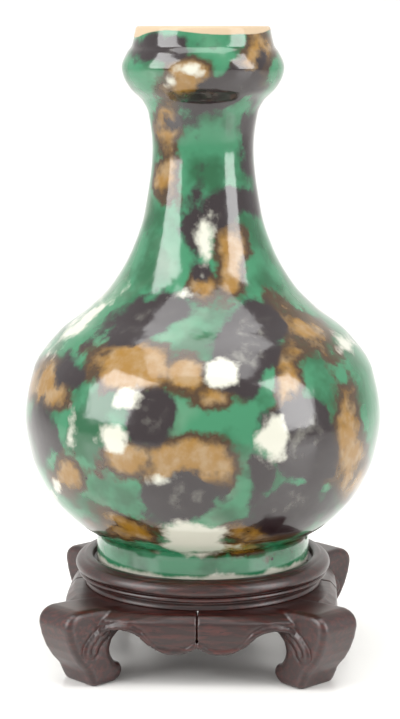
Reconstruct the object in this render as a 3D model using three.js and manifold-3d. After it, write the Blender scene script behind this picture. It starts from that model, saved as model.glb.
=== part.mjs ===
// Garlic-mouth bottle vase on a carved hardwood stand, in millimetres, +Z up.
// The origin is the middle of the plane that the four feet stand on.
import * as THREE from "three";
import { mergeVertices } from "three/addons/utils/BufferGeometryUtils.js";
import Module from "manifold-3d";

const wasm = await Module();
wasm.setup();

// Vase: radii and heights above its own foot
const FOOT_R = 39.2;
const FOOT_H = 7;
const FOOT_RIM = 5;
const FOOT_RECESS = 5;
const BELLY_R = 65;
const BELLY_H = 54;
const NECK_R = 18.2;
const NECK_H = 152;
const BULB_R = 29.1;
const BULB_H = 180.5;
const RIM_R = 24;
const RIM_H = 194.2;
const VASE_H = 195;
const RIM_ROUNDING = 0.8;
const VASE_WALL = 5;
const VASE_FLOOR = 6;

// Heights of the luted seams between the thrown sections
const SHOULDER_SEAM_H = 112;
const COLLAR_SEAM_H = 166;

// Stand: turned ring with the recess for the foot
const RECESS_CLEARANCE = 1.3;
const RECESS_DEPTH = 3;
const LEDGE_W = 8.2;
const LIP_W = 6.7;
const RING_H = 8;
const LEDGE_T = 1.7;
const BOARD_T = 3;
const BOARD_FIT = 0.3;
const BEAD_H = 2.4;

// Stand: waist and corner blocks
const WAIST_R = 44;
const WAIST_H = 3;
const WAIST_COVE = 0.6;
const COLLAR_LAP = 3;
const BLOCK_H = 27;
const APRON_R = 50;
const APRON_IN_R = 41;
const APRON_DEPTH = 16;
const APRON_SQUARENESS = 4;
const CUSP_Z = 15;
const LOBE_Z = 12;
const LOBE_X = 10.5;
const ARCH_Z = 21;
const ARCH_X = 27.6;
const ARCH_END_X = 37;

// Stand: scrolled leg, drawn along the diagonal
const LEG_W = 18;
const LEG_BEVEL = 2;
const LEG_IN_R = 38;
const SHOULDER_R = 71.5;
const SHOULDER_RISE = 1.5;
const SOLE_OUT_R = 59.5;
const SOLE_IN_R = 50;
const TOE_R = 46;

// Stand: hidden tongues and pegs
const TONGUE_L = 12;
const TONGUE_T = 3;
const TONGUE_H = 6;
const TONGUE_DROP = 3.5;
const PEG_R = 1.5;
const PEG_AT_R = 41;
const PEG_DEPTH = 5;
const JOINERY_FIT = 0.1;
const GLUE_LINE = 0.1;

const SEGMENTS = 36;
const PEG_SEGMENTS = 12;
const CUTTER = 200;
const CLOSEST = 0.15;
const SLIVER = 0.03;

const COLLAR_TOP = BLOCK_H + WAIST_H;
const RING_TOP = COLLAR_TOP + RING_H;
const FOOT_Z = RING_TOP - RECESS_DEPTH;
const RECESS_R = FOOT_R + RECESS_CLEARANCE;
const LEDGE_IN_R = FOOT_R - LEDGE_W;
const BEAD_R = RECESS_R + LIP_W;

const BOARD_R = LEDGE_IN_R + COLLAR_LAP + 1;
const COLLAR_IN_R = BOARD_R - COLLAR_LAP;

// Each span of the vase's outline goes from one named radius to the next.
// A pair is how far up the span it lies and how far the radius has changed.
const FOOT_TO_BELLY = [[0.204, 0.399], [0.437, 0.709], [0.72, 0.922]];
const BELLY_TO_NECK = [
  [0.18, 0.934], [0.315, 0.735], [0.405, 0.496], [0.494, 0.316], [0.629, 0.154], [0.764, 0.061],
];
const NECK_TO_BULB = [[0.428, 0.128], [0.582, 0.321], [0.737, 0.721], [0.891, 0.95]];
const BULB_TO_RIM = [[0.4, 0.41], [0.547, 0.7]];

function spanStations(h0, r0, h1, r1, shape) {
  return shape.map(([t, s]) => [h0 + (h1 - h0) * t, r0 + (r1 - r0) * s]);
}

const STATIONS = [
  [FOOT_H, FOOT_R],
  ...spanStations(FOOT_H, FOOT_R, BELLY_H, BELLY_R, FOOT_TO_BELLY),
  [BELLY_H, BELLY_R],
  ...spanStations(NECK_H, NECK_R, BELLY_H, BELLY_R, BELLY_TO_NECK.map(([t, s]) => [1 - t, s])),
  [NECK_H, NECK_R],
  ...spanStations(NECK_H, NECK_R, BULB_H, BULB_R, NECK_TO_BULB),
  [BULB_H, BULB_R],
  ...spanStations(BULB_H, BULB_R, RIM_H, RIM_R, BULB_TO_RIM),
  [RIM_H, RIM_R],
];

// A smooth curve through the stations that never swings past them
function outerRadius(h) {
  const n = STATIONS.length;
  const slope = (i) => (STATIONS[i + 1][1] - STATIONS[i][1]) / (STATIONS[i + 1][0] - STATIONS[i][0]);
  const tangent = (i) => {
    if (i === 0) return slope(0);
    if (i === n - 1) return slope(n - 2);
    const product = slope(i - 1) * slope(i);
    return product <= 0 ? 0 : (2 * product) / (slope(i - 1) + slope(i));
  };
  let i = 0;
  while (i < n - 2 && h > STATIONS[i + 1][0]) i += 1;
  const span = STATIONS[i + 1][0] - STATIONS[i][0];
  const t = Math.min(1, Math.max(0, (h - STATIONS[i][0]) / span));
  const a = 2 * t ** 3 - 3 * t ** 2 + 1;
  const b = t ** 3 - 2 * t ** 2 + t;
  const c = t ** 3 - t ** 2;
  return a * STATIONS[i][1] + b * span * tangent(i) + (1 - a) * STATIONS[i + 1][1] + c * span * tangent(i + 1);
}

function innerRadius(h) {
  return outerRadius(h) - VASE_WALL;
}

// Heights of the outline's points between two levels, ends included
function levels(low, high) {
  const between = STATIONS.map(([h]) => h).filter((h) => h > low + 1 && h < high - 1);
  return [low, ...between, high];
}

function welded(geometry, nearest = 0.0001) {
  geometry.deleteAttribute("normal");
  geometry.deleteAttribute("uv");
  const merged = mergeVertices(geometry, nearest);
  const kept = [];
  const index = merged.index.array;
  for (let i = 0; i < index.length; i += 3) {
    const [a, b, c] = index.slice(i, i + 3);
    if (a !== b && b !== c && c !== a) kept.push(a, b, c);
  }
  merged.setIndex(kept);
  return merged;
}

function toSolid(geometry) {
  const mesh = welded(geometry);
  return new wasm.Manifold(new wasm.Mesh({
    numProp: 3,
    vertProperties: new Float32Array(mesh.attributes.position.array),
    triVerts: new Uint32Array(mesh.index.array),
  }));
}

// A cut leaves slivers where two surfaces cross: corners nearer than CLOSEST become one
function toGeometry(solid) {
  const mesh = solid.getMesh();
  const geometry = new THREE.BufferGeometry();
  geometry.setAttribute("position", new THREE.BufferAttribute(mesh.vertProperties, 3));
  geometry.setIndex(new THREE.BufferAttribute(mesh.triVerts, 1));
  return withoutSlivers(welded(geometry, CLOSEST));
}

// Where a triangle is a sliver, its long edge is swapped for the other way across
function withoutSlivers(geometry) {
  const place = geometry.attributes.position;
  const index = Array.from(geometry.index.array);
  const corner = (k) => new THREE.Vector3().fromBufferAttribute(place, k);
  const length = (a, b) => corner(a).distanceTo(corner(b));
  for (let t = 0; t < index.length; t += 3) {
    const corners = [0, 1, 2].map((k) => index[t + k]);
    const lengths = corners.map((a, k) => length(a, corners[(k + 1) % 3]));
    const k = lengths.indexOf(Math.max(...lengths));
    const [i, j, apex] = [corners[k], corners[(k + 1) % 3], corners[(k + 2) % 3]];
    const area = corner(j).sub(corner(i)).cross(corner(apex).sub(corner(i))).length();
    if (area / lengths[k] > SLIVER) continue;
    for (let u = 0; u < index.length; u += 3) {
      const e = [0, 1, 2].find((n) => index[u + n] === j && index[u + ((n + 1) % 3)] === i);
      if (e === undefined) continue;
      const far = index[u + ((e + 2) % 3)];
      index.splice(t, 3, i, far, apex);
      index.splice(u, 3, far, j, apex);
      break;
    }
  }
  geometry.setIndex(index);
  return geometry;
}

// Turns a closed outline of [radius, height] points, up the outside and down the inside
function turned(outline, segments = SEGMENTS) {
  const closed = [...outline, outline[0]].map(([r, z]) => new THREE.Vector2(r, z));
  return welded(new THREE.LatheGeometry(closed, segments).rotateX(Math.PI / 2));
}

function box(low, high) {
  const size = high.map((v, i) => v - low[i]);
  return new THREE.BoxGeometry(...size).translate(...low.map((v, i) => v + size[i] / 2));
}

function vaseSection(low, high) {
  const heights = levels(low, high);
  const outside = heights.map((h) => [outerRadius(h), FOOT_Z + h]);
  const inside = heights.reverse().map((h) => [innerRadius(h), FOOT_Z + h]);
  return turned([...outside, ...inside]);
}

function lowerBody() {
  const heights = levels(FOOT_H, BELLY_H);
  const floorTop = FOOT_RECESS + VASE_FLOOR;
  const outside = heights.map((h) => [outerRadius(h), FOOT_Z + h]);
  const inside = levels(floorTop + VASE_FLOOR, BELLY_H).reverse().map((h) => [innerRadius(h), FOOT_Z + h]);
  return turned([
    [0, FOOT_Z + FOOT_RECESS],
    [FOOT_R - FOOT_RIM, FOOT_Z + FOOT_RECESS],
    [FOOT_R - FOOT_RIM, FOOT_Z],
    [FOOT_R, FOOT_Z],
    ...outside,
    ...inside,
    [FOOT_R - VASE_WALL, FOOT_Z + floorTop],
    [0, FOOT_Z + floorTop],
  ]);
}

function garlicMouth() {
  const heights = levels(COLLAR_SEAM_H, RIM_H);
  const outside = heights.map((h) => [outerRadius(h), FOOT_Z + h]);
  const inside = heights.reverse().map((h) => [innerRadius(h), FOOT_Z + h]);
  return turned([
    ...outside,
    [RIM_R - RIM_ROUNDING, FOOT_Z + VASE_H],
    [RIM_R - VASE_WALL + RIM_ROUNDING, FOOT_Z + VASE_H],
    ...inside,
  ]);
}

function topRing() {
  const low = COLLAR_TOP;
  const seat = low + BOARD_T + BOARD_FIT;
  const groove = low + BEAD_H;
  return turned([
    [BOARD_R + BOARD_FIT, low],
    [WAIST_R + 0.3, low],
    [BEAD_R - 1.6, low + 0.4],
    [BEAD_R - 1.2, low + BEAD_H / 2],
    [BEAD_R - 1.6, groove - 0.4],
    [BEAD_R - 2.3, groove],
    [BEAD_R - 0.6, groove + 0.4],
    [BEAD_R, groove + 1.6],
    [BEAD_R - 0.4, RING_TOP - BEAD_H],
    [BEAD_R - 1.7, RING_TOP - 1.1],
    [BEAD_R - 3.7, RING_TOP - 0.1],
    [RECESS_R + 1.1, RING_TOP],
    [RECESS_R, RING_TOP - 0.6],
    [RECESS_R, FOOT_Z],
    [LEDGE_IN_R, FOOT_Z],
    [LEDGE_IN_R, seat],
    [BOARD_R + BOARD_FIT, seat],
  ]);
}

function floorBoard() {
  return turned([
    [0, COLLAR_TOP],
    [BOARD_R, COLLAR_TOP],
    [BOARD_R, COLLAR_TOP + BOARD_T],
    [0, COLLAR_TOP + BOARD_T],
  ]);
}

function waistCollar() {
  return turned([
    [COLLAR_IN_R, BLOCK_H],
    [WAIST_R, BLOCK_H],
    [WAIST_R - WAIST_COVE, BLOCK_H + WAIST_H / 2],
    [WAIST_R, COLLAR_TOP],
    [COLLAR_IN_R, COLLAR_TOP],
  ]);
}

// The apron is turned first, then its outside is drawn out towards the square
function apronShell() {
  const low = BLOCK_H - APRON_DEPTH;
  const geometry = turned([
    [APRON_IN_R, low],
    [APRON_R - 2.5, low],
    [APRON_R - 1, low + APRON_DEPTH / 4],
    [APRON_R, low + APRON_DEPTH / 2],
    [APRON_R - 0.3, BLOCK_H - APRON_DEPTH / 5],
    [APRON_R - 2.5, BLOCK_H - 0.6],
    [WAIST_R, BLOCK_H],
    [APRON_IN_R, BLOCK_H],
  ], SEGMENTS + 4);
  const place = geometry.attributes.position;
  for (let i = 0; i < place.count; i += 1) {
    const x = place.getX(i);
    const y = place.getY(i);
    const r = Math.hypot(x, y);
    const part = Math.max(0, (r - WAIST_R) / (APRON_R - WAIST_R));
    const power = APRON_SQUARENESS;
    const square = (Math.abs(x / r) ** power + Math.abs(y / r) ** power) ** (-1 / power);
    const grow = 1 + Math.min(1, part) * (square - 1);
    place.setXYZ(i, x * grow, y * grow, place.getZ(i));
  }
  return toSolid(geometry);
}

function archCutter() {
  const edge = new THREE.Shape();
  edge.moveTo(0, CUSP_Z);
  edge.bezierCurveTo(LOBE_X * 0.3, LOBE_Z + 0.2, LOBE_X * 0.65, LOBE_Z - 0.3, LOBE_X, LOBE_Z);
  edge.bezierCurveTo(LOBE_X + 4.5, LOBE_Z + 0.6, ARCH_X - 10, ARCH_Z - 4, ARCH_X - 7, ARCH_Z - 2);
  edge.quadraticCurveTo(ARCH_X - 4, ARCH_Z, ARCH_X, ARCH_Z);
  edge.bezierCurveTo(ARCH_X + 5.4, ARCH_Z, ARCH_END_X - 1, ARCH_Z - 3, ARCH_END_X, CUSP_Z - 2);
  edge.lineTo(ARCH_END_X, -BLOCK_H);
  edge.lineTo(0, -BLOCK_H);
  const depth = CUTTER / 2;
  const settings = { depth, bevelEnabled: false, curveSegments: 5 };
  return new THREE.ExtrudeGeometry(edge, settings).rotateX(Math.PI / 2);
}

function legSlab() {
  const top = BLOCK_H + SHOULDER_RISE;
  const outline = new THREE.Shape();
  outline.moveTo(LEG_IN_R, BLOCK_H - 7);
  outline.quadraticCurveTo(SOLE_IN_R + 1.5, BLOCK_H - 7.5, SOLE_IN_R + 2, BLOCK_H - 14.5);
  outline.quadraticCurveTo(SOLE_IN_R + 1, 7.5, TOE_R + 1, 6.5);
  outline.quadraticCurveTo(TOE_R - 0.5, 3.5, TOE_R + 1, 2);
  outline.quadraticCurveTo(SOLE_IN_R - 1.5, 0.2, SOLE_IN_R, 0);
  outline.lineTo(SOLE_OUT_R, 0);
  outline.quadraticCurveTo(SOLE_OUT_R + 1.6, 2.5, SOLE_OUT_R + 3, 6);
  outline.quadraticCurveTo(SHOULDER_R - 1.5, 13, SHOULDER_R, top - 5.5);
  outline.quadraticCurveTo(SHOULDER_R - 0.4, top - 0.6, SHOULDER_R - 6, top);
  outline.quadraticCurveTo(WAIST_R + 9, top - 0.4, WAIST_R + 2.5, BLOCK_H);
  outline.lineTo(LEG_IN_R, BLOCK_H);
  const settings = {
    depth: LEG_W - 2 * LEG_BEVEL,
    bevelSize: LEG_BEVEL,
    bevelThickness: LEG_BEVEL,
    bevelOffset: -LEG_BEVEL,
    bevelSegments: 2,
    curveSegments: 4,
  };
  const geometry = new THREE.ExtrudeGeometry(outline, settings);
  geometry.translate(0, 0, -(LEG_W - 2 * LEG_BEVEL) / 2).rotateX(Math.PI / 2).rotateZ(-Math.PI / 4);
  return toSolid(geometry);
}

function tongueBox(fit) {
  const middle = (APRON_R + APRON_IN_R) / 2;
  const half = TONGUE_L / 2;
  const top = BLOCK_H - TONGUE_DROP;
  return box(
    [-half - fit, -middle - TONGUE_T / 2 - fit, top - TONGUE_H - fit],
    [half + fit, -middle + TONGUE_T / 2 + fit, top + fit],
  );
}

function peg(fit, angle) {
  const height = 2 * PEG_DEPTH + WAIST_H - 2 + 2 * fit;
  const geometry = new THREE.CylinderGeometry(PEG_R + fit, PEG_R + fit, height, PEG_SEGMENTS);
  geometry.rotateX(Math.PI / 2).translate(PEG_AT_R, 0, BLOCK_H - PEG_DEPTH - fit + height / 2);
  return geometry.rotateZ(angle);
}

// The block at the front right: one leg with half of the apron on either side
function frontRightBlock() {
  const seam = GLUE_LINE / 2;
  const corner = toSolid(box([seam, -CUTTER, -CUTTER], [CUTTER, -seam, CUTTER]));
  const frontArch = toSolid(archCutter());
  const sideArch = toSolid(mirrored(archCutter(), -1, 1).rotateZ(Math.PI / 2));
  return apronShell()
    .intersect(corner)
    .subtract(frontArch)
    .subtract(sideArch)
    .add(legSlab())
    .subtract(toSolid(tongueBox(JOINERY_FIT)))
    .subtract(toSolid(tongueBox(JOINERY_FIT).rotateZ(Math.PI / 2)))
    .subtract(toSolid(peg(JOINERY_FIT, -Math.PI / 4)));
}

// A copy reflected across the planes x = 0 and y = 0 where the sign is negative
function mirrored(geometry, signX, signY) {
  const copy = geometry.clone().scale(signX, signY, 1);
  if (signX * signY < 0) {
    const index = copy.index ? Array.from(copy.index.array) : [...Array(copy.attributes.position.count).keys()];
    for (let i = 0; i < index.length; i += 3) {
      [index[i], index[i + 1]] = [index[i + 1], index[i]];
    }
    copy.setIndex(index);
  }
  return copy;
}

function boredForPegs(geometry) {
  let solid = toSolid(geometry);
  for (let k = 0; k < 4; k += 1) {
    solid = solid.subtract(toSolid(peg(JOINERY_FIT, Math.PI / 4 + (k * Math.PI) / 2)));
  }
  return toGeometry(solid);
}

const GLAZE = { color: 0x5e9677, roughness: 0.15, metalness: 0 };
const HARDWOOD = { color: 0x3a2320, roughness: 0.35, metalness: 0 };
const PALE_WOOD = { color: 0x9a7450, roughness: 0.7, metalness: 0 };

const object = new THREE.Group();

function addPiece(name, geometry, finish) {
  const mesh = new THREE.Mesh(geometry, new THREE.MeshStandardMaterial(finish));
  mesh.name = name;
  object.add(mesh);
}

addPiece("lower_body", lowerBody(), GLAZE);
addPiece("upper_body", vaseSection(BELLY_H, SHOULDER_SEAM_H), GLAZE);
addPiece("neck", vaseSection(SHOULDER_SEAM_H, COLLAR_SEAM_H), GLAZE);
addPiece("garlic_mouth", garlicMouth(), GLAZE);
addPiece("floor_board", floorBoard(), HARDWOOD);
addPiece("top_ring", boredForPegs(topRing()), HARDWOOD);
addPiece("waist_collar", boredForPegs(waistCollar()), HARDWOOD);

const block = toGeometry(frontRightBlock());
addPiece("leg_front_right", block, HARDWOOD);
addPiece("leg_front_left", mirrored(block, -1, 1), HARDWOOD);
addPiece("leg_back_right", mirrored(block, 1, -1), HARDWOOD);
addPiece("leg_back_left", mirrored(block, -1, -1), HARDWOOD);

const SIDES = ["front", "right", "back", "left"];
SIDES.forEach((side, k) => {
  addPiece(`seam_tongue_${side}`, tongueBox(0).rotateZ((k * Math.PI) / 2), PALE_WOOD);
});
["front_right", "back_right", "back_left", "front_left"].forEach((corner, k) => {
  addPiece(`ring_peg_${corner}`, peg(0, -Math.PI / 4 + (k * Math.PI) / 2), PALE_WOOD);
});

export default object;
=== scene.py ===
import math
import random

import bmesh
import bpy
import numpy as np
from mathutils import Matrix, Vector


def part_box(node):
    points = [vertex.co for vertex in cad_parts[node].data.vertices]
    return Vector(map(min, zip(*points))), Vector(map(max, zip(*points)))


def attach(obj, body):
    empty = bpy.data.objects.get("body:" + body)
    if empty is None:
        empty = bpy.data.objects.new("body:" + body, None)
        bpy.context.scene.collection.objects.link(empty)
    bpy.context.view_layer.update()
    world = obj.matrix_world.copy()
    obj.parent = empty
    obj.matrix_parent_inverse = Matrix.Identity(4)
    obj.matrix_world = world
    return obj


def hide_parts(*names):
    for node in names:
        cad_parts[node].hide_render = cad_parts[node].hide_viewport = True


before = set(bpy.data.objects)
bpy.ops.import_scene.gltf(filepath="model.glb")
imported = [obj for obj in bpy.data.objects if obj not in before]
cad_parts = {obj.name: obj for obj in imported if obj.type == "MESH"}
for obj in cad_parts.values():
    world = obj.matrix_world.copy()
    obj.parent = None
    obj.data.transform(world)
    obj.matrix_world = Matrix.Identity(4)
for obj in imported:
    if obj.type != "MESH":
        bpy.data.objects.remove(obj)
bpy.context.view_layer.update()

bl_info = {
    "name": "Garlic-mouth vase on a hardwood stand",
    "version": (1, 0, 0),
    "blender": (4, 5, 0),
    "location": "View3D > Sidebar > Vase",
    "description": "Splash-glazed bottle vase with its carved stand",
    "category": "Object",
}

MM = 0.001
IMAGE_W = 400
IMAGE_H = 719

# Levels and radii that come from the frame, in millimetres
VASE_NODES = ["lower_body", "upper_body", "neck", "garlic_mouth"]
LEG_NODES = ["leg_front_left", "leg_front_right", "leg_back_left", "leg_back_right"]
HIDDEN_NODES = [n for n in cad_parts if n.startswith(("seam_tongue", "ring_peg"))]
FOOT_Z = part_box("lower_body")[0][2] / MM
RIM_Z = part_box("garlic_mouth")[1][2] / MM
BELLY_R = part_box("lower_body")[1][0] / MM
BULB_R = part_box("garlic_mouth")[1][0] / MM
COLLAR_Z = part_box("waist_collar")[0][2] / MM
RING_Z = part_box("top_ring")[0][2] / MM
RING_TOP_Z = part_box("top_ring")[1][2] / MM
BEAD_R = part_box("top_ring")[1][0] / MM
WAIST_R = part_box("waist_collar")[1][0] / MM
VASE_H = RIM_Z - FOOT_Z

# The vase's outline above its foot: height and radius in millimetres
FOOT_R = 39.2
FOOT_RIM = 5.0
FOOT_RECESS = 5.0
WALL = 5.0
OUTLINE = [
    (11.5, FOOT_R), (13.5, 42.8), (17.5, 48.4), (27.5, 57.2), (40.8, 63), (54, BELLY_R), (71.6, 61.9),
    (84.9, 52.6), (93.7, 41.4), (102.4, 33), (115.6, 25.4), (128.9, 21.05), (152, 18.2),
    (164.2, 19.6), (168.6, 21.7), (173, 26.06), (177.4, 28.5), (180.5, BULB_R), (186, 27),
    (188, 25.5), (194.2, 24),
]

# Brush daubs as seen from the front: middle across and up, half width, half height
# in millimetres in the plane of the vase's axis, and tilt in degrees
DAUBS = {
    "aubergine": [
        (-15, 222, 10, 3.5, 0), (7, 206, 15.5, 5, 28), (19, 193, 2.5, 12, -5),
        (8, 165, 11.5, 5.5, 20), (-2, 159, 2, 11.5, 0), (1, 142, 3.5, 2.5, 0),
        (-19, 125, 16, 6, 25), (-47, 104, 3.5, 4.5, 0), (-17, 88, 9, 9.5, 0), (-58, 82, 5, 9, 0),
        (-5, 58, 14, 7.5, 10), (18, 114, 11, 17, -20), (28, 85, 4.5, 3, 0),
        (40, 79, 10.5, 14.5, 10), (24, 65, 3.5, 8, 0), (34, 54, 14, 8, 25),
    ],
    "amber": [
        (-4, 212, 7.5, 6.5, 0), (19, 217, 4.5, 9, -10), (-12, 196, 3.5, 10.5, 0),
        (-12, 176, 3.5, 6.5, 0), (11, 147, 5, 13, 0), (1, 137, 5, 5, 0), (-55, 99, 7.5, 8.5, 0),
        (-24, 107, 14.5, 9, 0), (-4, 104, 6.5, 6, 0), (8, 96, 6, 3.5, 0), (-25, 72, 9, 6, 0),
        (-2, 70, 16.5, 10, 0), (-26, 46, 11, 3.5, -15), (33, 103, 3, 12, 0),
        (36, 123, 12, 3.5, -38), (46, 70, 6, 5, 0), (55, 78, 4.5, 17, 5), (23, 45, 11.5, 3.5, 8),
        (13, 39, 6.5, 2, 0), (-48, 66, 5.5, 6, -20),
    ],
    "white": [
        (-4, 215, 3.5, 1.5, 0), (-10, 211, 2, 2, 0), (2, 155, 3, 11.5, 0), (-6, 134, 3.5, 2, 10),
        (-41, 126, 12.5, 2, 42), (-25, 94, 6, 4.5, 0), (-31, 81, 6, 5, 0), (-13, 65, 3, 2, 0),
        (-1, 42, 13, 6, 0), (9, 105, 5.5, 6, 0), (28, 80, 6, 7.5, 0), (52, 116, 3.5, 2, -40),
        (-53, 61, 2, 3.5, -20), (-46, 84, 1, 3.5, 0),
    ],
    "dark_green": [
        (-39, 81, 9, 11, 0), (-43, 55, 7.5, 2.5, -35),
    ],
}
EYE_DISTANCE = 750.0

# Millimetres by which a daub shrinks towards the line where front and back daubs meet
TAPER = 85.0


def linear(hex_colour):
    values = [int(hex_colour[i:i + 2], 16) / 255 for i in (1, 3, 5)]
    return tuple(v / 12.92 if v <= 0.04045 else ((v + 0.055) / 1.055) ** 2.4 for v in values)


def colour_setting(name, hex_colour, description):
    return bpy.props.FloatVectorProperty(
        name=name, description=description, size=3, subtype="COLOR",
        min=0.0, max=1.0, default=linear(hex_colour),
    )


class VaseGlazeSettings(bpy.types.PropertyGroup):
    green: colour_setting("Green", "#2F7350", "Copper green ground of the glaze")
    green_deep: colour_setting("Deep green", "#14502F", "Green where the glaze lies thick")
    aubergine: colour_setting("Aubergine", "#211719", "Manganese purple-brown daubs")
    amber: colour_setting("Amber", "#86611F", "Iron amber daubs")
    amber_edge: colour_setting("Amber edge", "#3A260C", "Brown where amber meets green")
    white: colour_setting("White", "#C3C2B4", "Bare clear glaze over white slip")
    bare_clay: colour_setting("Bare clay", "#B39D80", "Buff body left unglazed at the rim")
    daub_spread: bpy.props.FloatProperty(
        name="Daub spread", description="How far the daubs' edges wander", default=6.0,
        min=0.0, max=12.0)


class VaseStandSettings(bpy.types.PropertyGroup):
    wood: colour_setting("Wood", "#250F0C", "Dark waxed hardwood")
    wood_red: colour_setting("Wood grain", "#54211A", "Redder streaks of the grain")
    bead_height: bpy.props.FloatProperty(
        name="Bead height", description="How proud the apron's bead stands", default=0.0007,
        min=0.0, max=0.002, unit="LENGTH")
    bead_width: bpy.props.FloatProperty(
        name="Bead width", description="Width of the apron's bead", default=0.0017,
        min=0.0005, max=0.004, unit="LENGTH")


class VaseStageSettings(bpy.types.PropertyGroup):
    floor_colour: colour_setting("Floor", "#F2F1EE", "Plain pale floor")
    eye_distance: bpy.props.FloatProperty(
        name="Eye distance", description="From the vase's axis to the camera", default=0.738,
        min=0.2, max=5.0, unit="LENGTH")


def add_node(material, kind, links=None, **settings):
    """Adds one node, sets its sockets and fields, and links its inputs."""
    node = material.node_tree.nodes.new(kind)
    for key, value in settings.items():
        if hasattr(node, key):
            setattr(node, key, value)
        else:
            node.inputs[key.replace("_", " ")].default_value = value
    for socket, source in (links or {}).items():
        material.node_tree.links.new(source, node.inputs[socket])
    return node


def new_material(name):
    material = bpy.data.materials.new(name)
    material.use_nodes = True
    material.node_tree.nodes.clear()
    return material


def finish_material(material, links, **settings):
    shader = add_node(material, "ShaderNodeBsdfPrincipled", links)
    for key, value in settings.items():
        shader.inputs[key.replace("_", " ")].default_value = value
    add_node(material, "ShaderNodeOutputMaterial", {"Surface": shader.outputs["BSDF"]})
    return material


def mix_colours(material, factor, first, second):
    node = add_node(material, "ShaderNodeMix", data_type="RGBA")
    for socket, value in ((node.inputs[0], factor), (node.inputs[6], first), (node.inputs[7], second)):
        if isinstance(value, bpy.types.NodeSocket):
            material.node_tree.links.new(value, socket)
        elif isinstance(value, float):
            socket.default_value = value
        else:
            socket.default_value = (*value, 1.0)
    return node.outputs[2]


def noise(material, place, size_mm, detail=3.0):
    node = add_node(material, "ShaderNodeTexNoise", {"Vector": place}, Detail=detail)
    node.inputs["Scale"].default_value = 1 / (size_mm * MM)
    return node.outputs["Fac"]


def combine(material, operation, first, second):
    node = add_node(material, "ShaderNodeMath", operation=operation)
    for socket, value in zip(node.inputs, (first, second)):
        if isinstance(value, bpy.types.NodeSocket):
            material.node_tree.links.new(value, socket)
        else:
            socket.default_value = value
    return node.outputs["Value"]


def between(material, value, low, high):
    node = add_node(material, "ShaderNodeMapRange", {"Value": value}, interpolation_type="SMOOTHSTEP")
    node.inputs["From Min"].default_value = low
    node.inputs["From Max"].default_value = high
    return node.outputs["Result"]


# Splashed lead glaze over a white slip: fired glossy, with colours that ran together,
# so the eye gets hard highlights over soft-edged daubs, dark rims and a few pinholes
def splashed_glaze(settings):
    material = new_material("splashed_lead_glaze_fired")
    place = add_node(material, "ShaderNodeTexCoord").outputs["Object"]
    wander = combine(material, "SUBTRACT", noise(material, place, 9.0, 4.0), 0.5)
    fine = combine(material, "SUBTRACT", noise(material, place, 1.8, 2.0), 0.5)
    wobble = combine(
        material, "ADD",
        combine(material, "MULTIPLY", wander, settings.daub_spread * 2),
        combine(material, "MULTIPLY", fine, 1.6),
    )
    pooled = between(material, noise(material, place, 14.0, 3.0), 0.40, 0.66)
    colour = mix_colours(material, pooled, settings.green, settings.green_deep)
    milky = between(material, noise(material, place, 22.0, 2.0), 0.52, 0.75)
    pale = mix_colours(material, 0.45, settings.green, settings.white)
    colour = mix_colours(material, combine(material, "MULTIPLY", milky, 0.3), colour, pale)

    def daub(name):
        field = add_node(material, "ShaderNodeAttribute", attribute_name=name).outputs["Fac"]
        return combine(material, "ADD", field, wobble)

    deep = daub("dark_green")
    colour = mix_colours(material, between(material, deep, -1.5, 1.5), colour, settings.green_deep)
    amber = combine(material, "ADD", daub("amber"), 1.5)
    colour = mix_colours(material, between(material, amber, -1.8, 0.6), colour, settings.amber_edge)
    amber_tone = mix_colours(
        material, between(material, noise(material, place, 5.0, 3.0), 0.35, 0.75),
        settings.amber, mix_colours(material, 0.18, settings.amber, settings.white))
    colour = mix_colours(material, between(material, amber, 0.4, 4.0), colour, amber_tone)
    purple = combine(material, "ADD", daub("aubergine"), 0.8)
    colour = mix_colours(material, between(material, purple, -2.0, 1.0), colour, settings.aubergine)
    worn = combine(
        material, "MULTIPLY", between(material, purple, 3.0, 8.0),
        between(material, noise(material, place, 6.0, 3.0), 0.45, 0.75))
    faded = mix_colours(material, 0.22, settings.aubergine, settings.white)
    colour = mix_colours(material, worn, colour, faded)
    white = daub("white")
    colour = mix_colours(material, between(material, white, -1.2, 2.0), colour, settings.white)
    holes = add_node(material, "ShaderNodeTexVoronoi", {"Vector": place}, feature="F1")
    holes.inputs["Scale"].default_value = 1 / (24 * MM)
    pinhole = combine(material, "LESS_THAN", holes.outputs["Distance"], 0.026)
    colour = mix_colours(material, pinhole, colour, linear("#1C1512"))
    bare = add_node(material, "ShaderNodeAttribute", attribute_name="bare").outputs["Fac"]
    bare = between(material, combine(material, "ADD", bare, wander), -0.2, 0.35)
    colour = mix_colours(material, bare, colour, settings.bare_clay)
    rough = add_node(material, "ShaderNodeMapRange", {"Value": bare})
    rough.inputs["To Min"].default_value = 0.13
    rough.inputs["To Max"].default_value = 0.75
    bump = add_node(material, "ShaderNodeBump", {"Height": noise(material, place, 7.0, 2.0)})
    bump.inputs["Strength"].default_value = 0.25
    bump.inputs["Distance"].default_value = 0.0006
    links = {"Base Color": colour, "Roughness": rough.outputs["Result"], "Normal": bump.outputs["Normal"]}
    return finish_material(material, links, IOR=1.56, Coat_Weight=0.35, Coat_Roughness=0.06)


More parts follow.
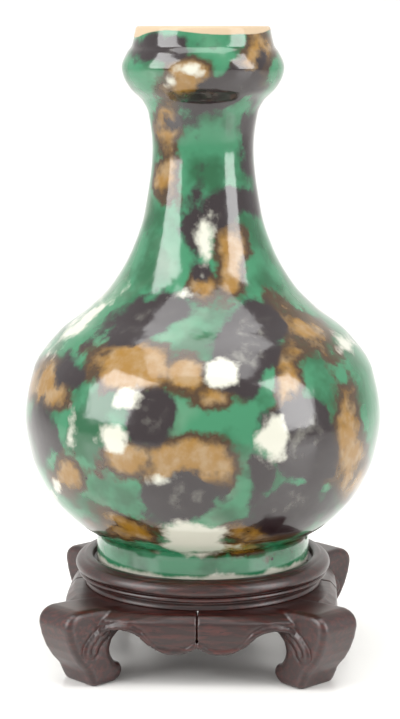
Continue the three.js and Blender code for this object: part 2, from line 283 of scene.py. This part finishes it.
def hardwood(name, wood, wood_red, roughness, coat):
    material = new_material(name)
    place = add_node(material, "ShaderNodeTexCoord").outputs["Object"]
    stretch = add_node(material, "ShaderNodeMapping", {"Vector": place})
    stretch.inputs["Scale"].default_value = (0.18, 1.0, 1.0)
    grain = noise(material, stretch.outputs["Vector"], 1.3, 5.0)
    cloud = noise(material, place, 16.0, 2.0)
    streak = combine(material, "MULTIPLY", between(material, grain, 0.42, 0.68), cloud)
    colour = mix_colours(material, streak, wood, wood_red)
    pores = between(material, noise(material, stretch.outputs["Vector"], 0.6, 2.0), 0.30, 0.42)
    colour = mix_colours(material, pores, tuple(v * 0.45 for v in wood), colour)
    bump = add_node(material, "ShaderNodeBump", {"Height": pores})
    bump.inputs["Strength"].default_value = 0.18
    bump.inputs["Distance"].default_value = 0.0001
    rough = add_node(material, "ShaderNodeMapRange", {"Value": cloud})
    rough.inputs["To Min"].default_value = roughness
    rough.inputs["To Max"].default_value = roughness + 0.14
    links = {"Base Color": colour, "Roughness": rough.outputs["Result"], "Normal": bump.outputs["Normal"]}
    return finish_material(material, links, IOR=1.5, Coat_Weight=coat, Coat_Roughness=0.3)


# Dark rosewood, carved, scraped and waxed: close grain with a soft grey sheen on the rounds
def waxed_rosewood(settings):
    return hardwood("waxed_rosewood_carved", settings.wood, settings.wood_red, 0.30, 0.35)


# Bamboo and offcut wood for hidden joinery, sawn and left plain: pale, dry and dull
def plain_joinery_wood():
    return hardwood("plain_joinery_wood", linear("#8A6644"), linear("#A98358"), 0.6, 0.0)


# Painted studio board: flat and pale, with a faint mottle
def pale_board(settings):
    material = new_material("painted_studio_board")
    place = add_node(material, "ShaderNodeTexCoord").outputs["Object"]
    tone = noise(material, place, 60.0, 2.0)
    off = tuple(v * 0.97 for v in settings.floor_colour)
    colour = mix_colours(material, tone, settings.floor_colour, off)
    return finish_material(material, {"Base Color": colour}, Roughness=0.22)


def mesh_object(name, vertices, faces, material):
    mesh = bpy.data.meshes.new(name)
    mesh.from_pydata([tuple(v) for v in vertices], [], faces)
    mesh.update()
    piece = bpy.data.objects.new(name, mesh)
    bpy.context.collection.objects.link(piece)
    mesh.materials.append(material)
    mesh.shade_smooth()
    return piece


def smooth_outline(points, step, rounds):
    """A closed outline with its corners eased and its sides cut to about the given step."""
    out = []
    for (r0, z0), (r1, z1) in zip(points, points[1:]):
        count = max(1, round(math.hypot(r1 - r0, z1 - z0) / step))
        out += [(r0 + (r1 - r0) * i / count, z0 + (z1 - z0) * i / count) for i in range(count)]
    out.append(points[-1])
    values = np.array(out)
    for _ in range(rounds):
        values[1:-1] = values[1:-1] * 0.5 + (values[:-2] + values[2:]) * 0.25
    return values


def turned(name, outline, segments, material, closed):
    """Turns an outline of radius and height in millimetres about the upright axis."""
    count = len(outline)
    angles = np.arange(segments) * 2 * math.pi / segments
    rings = [[(r * math.cos(a) * MM, r * math.sin(a) * MM, z * MM) for r, z in outline] for a in angles]
    vertices = [v for ring in rings for v in ring]
    faces = []
    spans = count if closed else count - 1
    for k in range(segments):
        a = k * count
        b = ((k + 1) % segments) * count
        for i in range(spans):
            j = (i + 1) % count
            faces.append((a + i, b + i, b + j, a + j))
    piece = mesh_object(name, vertices, faces, material)
    shape = bmesh.new()
    shape.from_mesh(piece.data)
    bmesh.ops.remove_doubles(shape, verts=shape.verts, dist=1e-7)
    bmesh.ops.dissolve_degenerate(shape, edges=shape.edges, dist=1e-8)
    bmesh.ops.recalc_face_normals(shape, faces=shape.faces)
    shape.to_mesh(piece.data)
    shape.free()
    return piece


def outer_radius(heights):
    """The vase's outer radius at heights above the foot, on a curve that never overshoots."""
    stations = np.array(OUTLINE, dtype=float)
    h, r = stations[:, 0], stations[:, 1]
    slope = np.diff(r) / np.diff(h)
    product = slope[:-1] * slope[1:]
    total = np.where(np.abs(slope[:-1] + slope[1:]) < 1e-9, 1.0, slope[:-1] + slope[1:])
    tangent = np.concatenate([[slope[0]], np.where(product <= 0, 0.0, 2 * product / total), [slope[-1]]])
    i = np.clip(np.searchsorted(h, heights) - 1, 0, len(h) - 2)
    span = h[i + 1] - h[i]
    t = np.clip((heights - h[i]) / span, 0, 1)
    a = 2 * t ** 3 - 3 * t ** 2 + 1
    b = t ** 3 - 2 * t ** 2 + t
    c = t ** 3 - t ** 2
    return a * r[i] + b * span * tangent[i] + (1 - a) * r[i + 1] + c * span * tangent[i + 1]


def vase_outline():
    """From the middle of the foot's recess up the outside, over the rim and down to the floor."""
    outside_h = np.linspace(OUTLINE[0][0], OUTLINE[-1][0], 330)
    inside_h = np.linspace(OUTLINE[-1][0], 17, 90)
    outside = list(zip(outer_radius(outside_h), FOOT_Z + outside_h))
    inside = list(zip(outer_radius(inside_h) - WALL, FOOT_Z + inside_h))
    foot_in = FOOT_R - FOOT_RIM
    foot = [
        (0, FOOT_Z + FOOT_RECESS), (foot_in - 1, FOOT_Z + FOOT_RECESS), (foot_in, FOOT_Z + 4),
        (foot_in, FOOT_Z + 0.5), (foot_in + 0.5, FOOT_Z), (FOOT_R - 0.5, FOOT_Z), (FOOT_R, FOOT_Z + 0.5),
        (FOOT_R, FOOT_Z + 2.5), (FOOT_R, FOOT_Z + 5), (FOOT_R, FOOT_Z + 8),
    ]
    rim_r = OUTLINE[-1][1]
    rim = [
        (rim_r - 0.25, RIM_Z - 0.3), (rim_r - 0.8, RIM_Z), (rim_r - WALL + 0.8, RIM_Z),
        (rim_r - WALL + 0.2, RIM_Z - 0.35),
    ]
    floor = [(FOOT_R - WALL, FOOT_Z + 11), (FOOT_R / 2, FOOT_Z + 11), (0, FOOT_Z + 11)]
    return foot + outside + rim + inside + floor


def daub_field(across, up, daubs):
    """How far each point lies inside the nearest daub, in millimetres, negative outside."""
    field = np.full(len(across), -12.0)
    for x, z, half_w, half_h, tilt in daubs:
        angle = math.radians(tilt)
        dx, dz = across - x, up - z
        u = (dx * math.cos(angle) + dz * math.sin(angle)) / half_w
        v = (-dx * math.sin(angle) + dz * math.cos(angle)) / half_h
        depth = (1 - (u ** 4 + v ** 4 + 1.2 * u * u * v * v) ** 0.25) * min(half_w, half_h)
        field = np.maximum(field, depth)
    return np.maximum(field, -12.0)


def back_daubs(draw, kind):
    """Daubs for the side that the photo doesn't show, in the same sizes, by arc and height."""
    counts = {"aubergine": 17, "amber": 19, "white": 14, "dark_green": 3}
    daubs = []
    for _ in range(counts[kind]):
        z = draw.choice([draw.uniform(48, 135), draw.uniform(48, 135), draw.uniform(135, 226)])
        wide = draw.uniform(4, 14) * (1 if z < 140 else 0.6)
        tall = draw.uniform(4, 13)
        daubs.append((draw.uniform(-80, 80), z, wide, tall, draw.uniform(-35, 35)))
    return daubs


def paint_daubs(piece):
    """Writes each colour's field to the mesh, from the front view and, behind, at random."""
    mesh = piece.data
    points = np.empty(len(mesh.vertices) * 3)
    mesh.vertices.foreach_get("co", points)
    points = points.reshape(-1, 3) / MM
    x, y, z = points.T
    radius = np.maximum(np.hypot(x, y), 1e-6)
    near = EYE_DISTANCE / (EYE_DISTANCE + y)
    across = x * near
    up = RIM_Z + (z - RIM_Z) * near
    behind = np.degrees(np.arctan2(x, y))
    fade_front = np.clip(y / radius * TAPER, 0, 14)
    fade_back = np.clip((0.1 - y / radius) * TAPER, 0, 14)
    draw = random.Random(27)
    for kind, daubs in DAUBS.items():
        front = daub_field(across, up, daubs)
        back = daub_field(behind / 90 * np.minimum(radius, 50) * 1.5, z, back_daubs(draw, kind))
        field = np.maximum(front - fade_front, back - fade_back)
        mesh.attributes.new(kind, "FLOAT", "POINT").data.foreach_set("value", field)
    turn = np.arctan2(x, -y)
    glaze_line = 228.2 - 1.2 * np.sin(turn * 2 + 0.6) - 3.5 * np.exp(-((turn + 1.25) / 0.45) ** 2)
    foot_line = FOOT_Z + 0.9
    bare = np.where(z > 150, z - glaze_line, np.where(radius <= FOOT_R + 0.1, foot_line - z, -3.0))
    mesh.attributes.new("bare", "FLOAT", "POINT").data.foreach_set("value", np.clip(bare, -3, 3))
    white = mesh.attributes["white"]
    values = np.empty(len(mesh.vertices))
    white.data.foreach_get("value", values)
    foot = np.where((z < FOOT_Z + 5) & (radius > FOOT_R - 1), 6.5 - 1.9 * (z - FOOT_Z), -12.0)
    white.data.foreach_set("value", np.maximum(values, foot))


def leg_edge():
    """The lower edge of half an apron: distance across and height in millimetres."""
    points = [(0, 15), (3, 12.9), (6.5, 12), (10.5, 12), (15, 12.9), (18, 15.8), (20.6, 19), (23.6, 20.6),
              (27.6, 21), (31.5, 20.2), (34.6, 17.8), (36.6, 15), (37, 13)]
    return np.array(points)


def carved_leg(name, node, material, settings):
    """A copy of the corner block with its facets carved smooth and a bead along its edge."""
    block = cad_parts[node].data.copy()
    piece = bpy.data.objects.new(name, block)
    bpy.context.collection.objects.link(piece)
    remesh = piece.modifiers.new("carving", "REMESH")
    remesh.mode = "VOXEL"
    remesh.voxel_size = 0.55 * MM
    ease = piece.modifiers.new("scraping", "SMOOTH")
    ease.factor = 0.5
    ease.iterations = 5
    graph = bpy.context.evaluated_depsgraph_get()
    mesh = bpy.data.meshes.new_from_object(piece.evaluated_get(graph))
    piece.modifiers.clear()
    piece.data = mesh
    mesh.materials.clear()
    mesh.materials.append(material)
    mesh.shade_smooth()
    raise_bead(mesh, settings)
    return piece


def raise_bead(mesh, settings):
    edge = leg_edge()
    steps = [np.linspace(a, b, 8, endpoint=False) for a, b in zip(edge, edge[1:])]
    line = np.concatenate(steps)
    width = settings.bead_width / MM
    for vertex in mesh.vertices:
        x, y, z = (v / MM for v in vertex.co)
        wide, deep = (abs(x), abs(y)) if abs(y) > abs(x) else (abs(y), abs(x))
        if deep < 44 or z > 24.5:
            continue
        distance = np.min(np.hypot(line[:, 0] - wide, line[:, 1] - z))
        if distance < 2 * width and abs(vertex.normal.z) < 0.7:
            rise = math.cos(min(1.0, abs(distance - width * 0.6) / (width * 0.75)) * math.pi / 2)
            groove = -0.35 if 1.3 * width < distance < 1.8 * width else 0.0
            outward = Vector((vertex.normal.x, vertex.normal.y, 0))
            vertex.co += outward * (rise + groove) * settings.bead_height


class VASE_OT_body(bpy.types.Operator):
    """Throws the vase and paints its glaze"""
    bl_idname = "vase.body"
    bl_label = "Glazed vase"

    def execute(self, context):
        glaze = splashed_glaze(context.scene.vase_glaze)
        piece = turned("glazed_vase", vase_outline(), 420, glaze, closed=False)
        paint_daubs(piece)
        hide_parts(*VASE_NODES)
        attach(piece, "vase")
        return {"FINISHED"}


class VASE_OT_ring(bpy.types.Operator):
    """Turns the stand's ring and its waist"""
    bl_idname = "vase.ring"
    bl_label = "Turned ring and waist"

    def execute(self, context):
        wood = waxed_rosewood(context.scene.vase_stand)
        bottom, top = RING_Z, RING_TOP_Z
        ring = [
            (35.5, bottom + 0.05), (WAIST_R + 0.3, bottom + 0.05), (BEAD_R - 1.5, bottom + 0.5),
            (BEAD_R - 1.1, bottom + 1.2), (BEAD_R - 1.5, bottom + 2.0), (BEAD_R - 2.4, bottom + 2.4),
            (BEAD_R - 0.6, bottom + 2.8), (BEAD_R, bottom + 4), (BEAD_R - 0.4, bottom + 5.6),
            (BEAD_R - 1.7, bottom + 6.9), (BEAD_R - 2.9, bottom + 7.4), (BEAD_R - 3.2, bottom + 7.2),
            (BEAD_R - 3.8, bottom + 7.9), (BEAD_R - 5.6, top), (BEAD_R - 6.4, top - 0.6),
            (BEAD_R - 6.6, bottom + 5.05), (31.2, bottom + 5.0), (31.2, bottom + 3.4),
            (35.4, bottom + 3.4), (35.5, bottom + 0.05),
        ]
        piece = turned("turned_ring", smooth_outline(ring, 0.3, 3), 220, wood, closed=False)
        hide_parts("top_ring")
        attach(piece, "stand")
        waist = [
            (32, COLLAR_Z), (WAIST_R - 0.2, COLLAR_Z), (WAIST_R - 0.8, COLLAR_Z + 1.5),
            (WAIST_R - 0.2, RING_Z), (32, RING_Z), (32, COLLAR_Z),
        ]
        piece = turned("turned_waist", smooth_outline(waist, 0.4, 2), 220, wood, closed=False)
        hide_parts("waist_collar")
        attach(piece, "stand")
        return {"FINISHED"}


class VASE_OT_legs(bpy.types.Operator):
    """Carves the four corner blocks with their legs and beaded aprons"""
    bl_idname = "vase.legs"
    bl_label = "Carved legs and aprons"

    def execute(self, context):
        settings = context.scene.vase_stand
        wood = waxed_rosewood(settings)
        for node in LEG_NODES:
            piece = carved_leg(node.replace("leg", "carved_leg"), node, wood, settings)
            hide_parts(node)
            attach(piece, "stand")
        return {"FINISHED"}


class VASE_OT_joinery(bpy.types.Operator):
    """Finishes the floor board, the tongues and the pegs"""
    bl_idname = "vase.joinery"
    bl_label = "Board and hidden joinery"

    def execute(self, context):
        plain = plain_joinery_wood()
        wood = waxed_rosewood(context.scene.vase_stand)
        for node in ["floor_board", *HIDDEN_NODES]:
            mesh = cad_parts[node].data
            chosen = wood if node == "floor_board" else plain
            mesh.materials.clear()
            mesh.materials.append(chosen)
        return {"FINISHED"}


def area_light(name, place, aim, size, power):
    light = bpy.data.lights.new(name, "AREA")
    light.shape = "RECTANGLE"
    light.size, light.size_y = size
    light.energy = power
    lamp = bpy.data.objects.new(name, light)
    lamp.location = place
    lamp.rotation_euler = (Vector(aim) - Vector(place)).to_track_quat("-Z", "Y").to_euler()
    bpy.context.collection.objects.link(lamp)


class VASE_OT_stage(bpy.types.Operator):
    """Sets the floor, the soft light and the camera"""
    bl_idname = "vase.stage"
    bl_label = "Stage"

    def execute(self, context):
        settings = context.scene.vase_stage
        sweep = [(-1.2, 0.0), (0.9, 0.0), (1.15, 0.03), (1.35, 0.12), (1.5, 0.3), (1.55, 0.6), (1.55, 2.2)]
        half = 2.2
        vertices = [(x, y, z) for y, z in sweep for x in (-half, half)]
        faces = [(2 * i, 2 * i + 1, 2 * i + 3, 2 * i + 2) for i in range(len(sweep) - 1)]
        floor = mesh_object("studio_floor", vertices, faces, pale_board(settings))
        area_light("left_softbox", (-0.9, -0.5, 0.65), (0, 0, 0.1), (0.7, 1.0), 13.0)
        area_light("right_softbox", (0.95, -0.45, 0.6), (0, 0, 0.1), (0.5, 1.0), 10.0)
        area_light("top_softbox", (0, -0.1, 1.3), (0, 0, 0), (1.2, 1.0), 11.0)
        world = bpy.data.worlds.new("studio_air")
        world.use_nodes = True
        world.node_tree.nodes["Background"].inputs[0].default_value = (1, 1, 1, 1)
        world.node_tree.nodes["Background"].inputs[1].default_value = 0.75
        context.scene.world = world
        context.scene.view_settings.view_transform = "Standard"
        place_camera(context, settings.eye_distance)
        return {"FINISHED"}


# The eye is level with the rim and looks down at the middle of the object
HORIZON_PX = 26.0
FOCAL_PX = 2043.0
AXIS_PX = 203.0
STAND_TURN = math.radians(2.5)


def place_camera(context, distance):
    data = bpy.data.cameras.new("front_camera")
    data.sensor_fit = "VERTICAL"
    data.sensor_height = 36.0
    data.lens = FOCAL_PX / IMAGE_H * data.sensor_height
    data.clip_start = 0.05
    camera = bpy.data.objects.new("front_camera", data)
    context.collection.objects.link(camera)
    pitch = math.atan((IMAGE_H / 2 - HORIZON_PX) / FOCAL_PX)
    aside = math.atan((IMAGE_W / 2 - AXIS_PX) / FOCAL_PX)
    x = distance * math.sin(STAND_TURN)
    y = -distance * math.cos(STAND_TURN)
    camera.location = (x, y, RIM_Z * MM)
    camera.rotation_euler = (math.pi / 2 - pitch, 0, STAND_TURN - aside)
    context.scene.camera = camera


class VASE_PT_panel(bpy.types.Panel):
    bl_idname = "VASE_PT_panel"
    bl_label = "Vase"
    bl_space_type = "VIEW_3D"
    bl_region_type = "UI"
    bl_category = "Vase"

    def draw(self, context):
        scene = context.scene
        for group in (scene.vase_glaze, scene.vase_stand, scene.vase_stage):
            for name in group.__annotations__:
                self.layout.prop(group, name)
        for operator in OPERATORS:
            self.layout.operator(operator.bl_idname)


SETTINGS = {
    "vase_glaze": VaseGlazeSettings,
    "vase_stand": VaseStandSettings,
    "vase_stage": VaseStageSettings,
}
OPERATORS = [VASE_OT_body, VASE_OT_ring, VASE_OT_legs, VASE_OT_joinery, VASE_OT_stage]


def register():
    for cls in [*SETTINGS.values(), *OPERATORS, VASE_PT_panel]:
        bpy.utils.register_class(cls)
    for name, cls in SETTINGS.items():
        setattr(bpy.types.Scene, name, bpy.props.PointerProperty(type=cls))


def unregister():
    for name in SETTINGS:
        delattr(bpy.types.Scene, name)
    for cls in reversed([*SETTINGS.values(), *OPERATORS, VASE_PT_panel]):
        bpy.utils.unregister_class(cls)


def main():
    register()
    bpy.ops.vase.body()
    bpy.ops.vase.ring()
    bpy.ops.vase.legs()
    bpy.ops.vase.joinery()
    bpy.ops.vase.stage()


if __name__ == "__main__":
    main()
